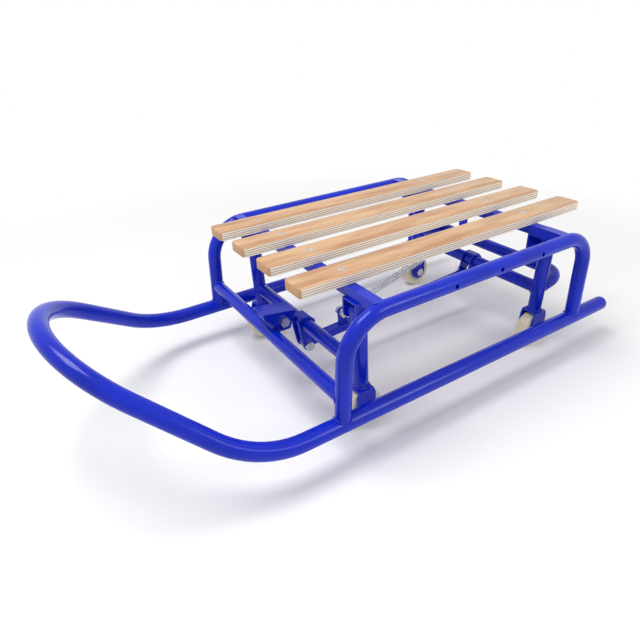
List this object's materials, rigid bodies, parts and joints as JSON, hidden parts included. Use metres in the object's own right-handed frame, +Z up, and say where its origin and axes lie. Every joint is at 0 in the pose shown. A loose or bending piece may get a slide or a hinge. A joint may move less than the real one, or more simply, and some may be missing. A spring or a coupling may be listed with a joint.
{
  "type": "child's sled with folding wheels",
  "caption": "Child's steel-tube sled with bent runners, a slatted plywood seat and four small wheels that fold up between the runners.",
  "frame": {"origin": "on the ground, below the middle of the sled's length and width", "axes": "+X towards the bow, +Y to the sled's left, +Z up"},
  "size_m": [0.7825, 0.382, 0.2139],
  "materials": {
    "blue_paint": "gloss",
    "plywood": "satin",
    "nylon": "satin",
    "zinc": "satin"
  },
  "bodies": {
    "frame": {"runner_bow_tube": "blue_paint", "left_arch": "blue_paint", "right_arch": "blue_paint", "front_cross_tube": "blue_paint", "front_seat_cross_member": "blue_paint", "rear_seat_cross_member": "blue_paint", "outer_left_slat": "plywood", "inner_left_slat": "plywood", "inner_right_slat": "plywood", "outer_right_slat": "plywood", "front_left_hinge_bracket": "blue_paint", "front_left_hinge_bolt": "zinc", "front_right_hinge_bracket": "blue_paint", "front_right_hinge_bolt": "zinc", "rear_left_hinge_bracket": "blue_paint", "rear_left_hinge_bolt": "zinc", "rear_right_hinge_bracket": "blue_paint", "rear_right_hinge_bolt": "zinc", "spring_anchor": "blue_paint", "return_spring": "zinc", "pedal_bracket": "blue_paint", "foot_pedal": "blue_paint", "pedal_bolt": "zinc"},
    "front_wheel_frame": {"front_left_leg": "blue_paint", "front_left_fork": "blue_paint", "front_left_axle_bolt": "zinc", "front_right_leg": "blue_paint", "front_right_fork": "blue_paint", "front_right_axle_bolt": "zinc", "front_wheel_cross_tube": "blue_paint", "front_link_lug": "blue_paint", "front_link_bolt": "zinc"},
    "rear_wheel_frame": {"rear_left_leg": "blue_paint", "rear_left_fork": "blue_paint", "rear_left_axle_bolt": "zinc", "rear_right_leg": "blue_paint", "rear_right_fork": "blue_paint", "rear_right_axle_bolt": "zinc", "rear_wheel_cross_tube": "blue_paint", "rear_link_lug": "blue_paint", "rear_link_bolt": "zinc", "step_bar": "blue_paint"},
    "link": {"link_bar": "blue_paint", "spring_ear": "blue_paint", "spring_bolt": "zinc"},
    "front_left_wheel_body": {"front_left_wheel": "nylon"},
    "front_right_wheel_body": {"front_right_wheel": "nylon"},
    "rear_left_wheel_body": {"rear_left_wheel": "nylon"},
    "rear_right_wheel_body": {"rear_right_wheel": "nylon"}
  },
  "joints": [
    {"name": "front_wheel_fold", "type": "hinge", "parent": "frame", "child": "front_wheel_frame", "pos_m": [0.06073, 0, 0.17], "axis": [0, 1, 0], "range_deg": [0, 52], "deforming": ["return_spring"]},
    {"name": "rear_wheel_fold", "type": "hinge", "parent": "frame", "child": "rear_wheel_frame", "pos_m": [-0.28127, 0, 0.17], "axis": [0, 1, 0], "range_deg": [0, 61.4]},
    {"name": "link_front_pivot", "type": "hinge", "parent": "front_wheel_frame", "child": "link", "pos_m": [0.05749, 0, 0.05505], "axis": [0, 1, 0], "range_deg": [-53.91, 0]},
    {"name": "front_left_wheel_spin", "type": "hinge", "parent": "front_wheel_frame", "child": "front_left_wheel_body", "pos_m": [0.05673, 0.137, 0.028], "axis": [0, 1, 0], "continuous": true},
    {"name": "front_right_wheel_spin", "type": "hinge", "parent": "front_wheel_frame", "child": "front_right_wheel_body", "pos_m": [0.05673, -0.137, 0.028], "axis": [0, 1, 0], "continuous": true},
    {"name": "rear_left_wheel_spin", "type": "hinge", "parent": "rear_wheel_frame", "child": "rear_left_wheel_body", "pos_m": [-0.27627, 0.137, 0.028], "axis": [0, 1, 0], "continuous": true},
    {"name": "rear_right_wheel_spin", "type": "hinge", "parent": "rear_wheel_frame", "child": "rear_right_wheel_body", "pos_m": [-0.27627, -0.137, 0.028], "axis": [0, 1, 0], "continuous": true}
  ],
  "couplings": [
    {"joint": "rear_wheel_fold", "follows": "front_wheel_fold", "ratio": 1.1712},
    {"joint": "link_front_pivot", "follows": "front_wheel_fold", "ratio": -1.0272}
  ]
}
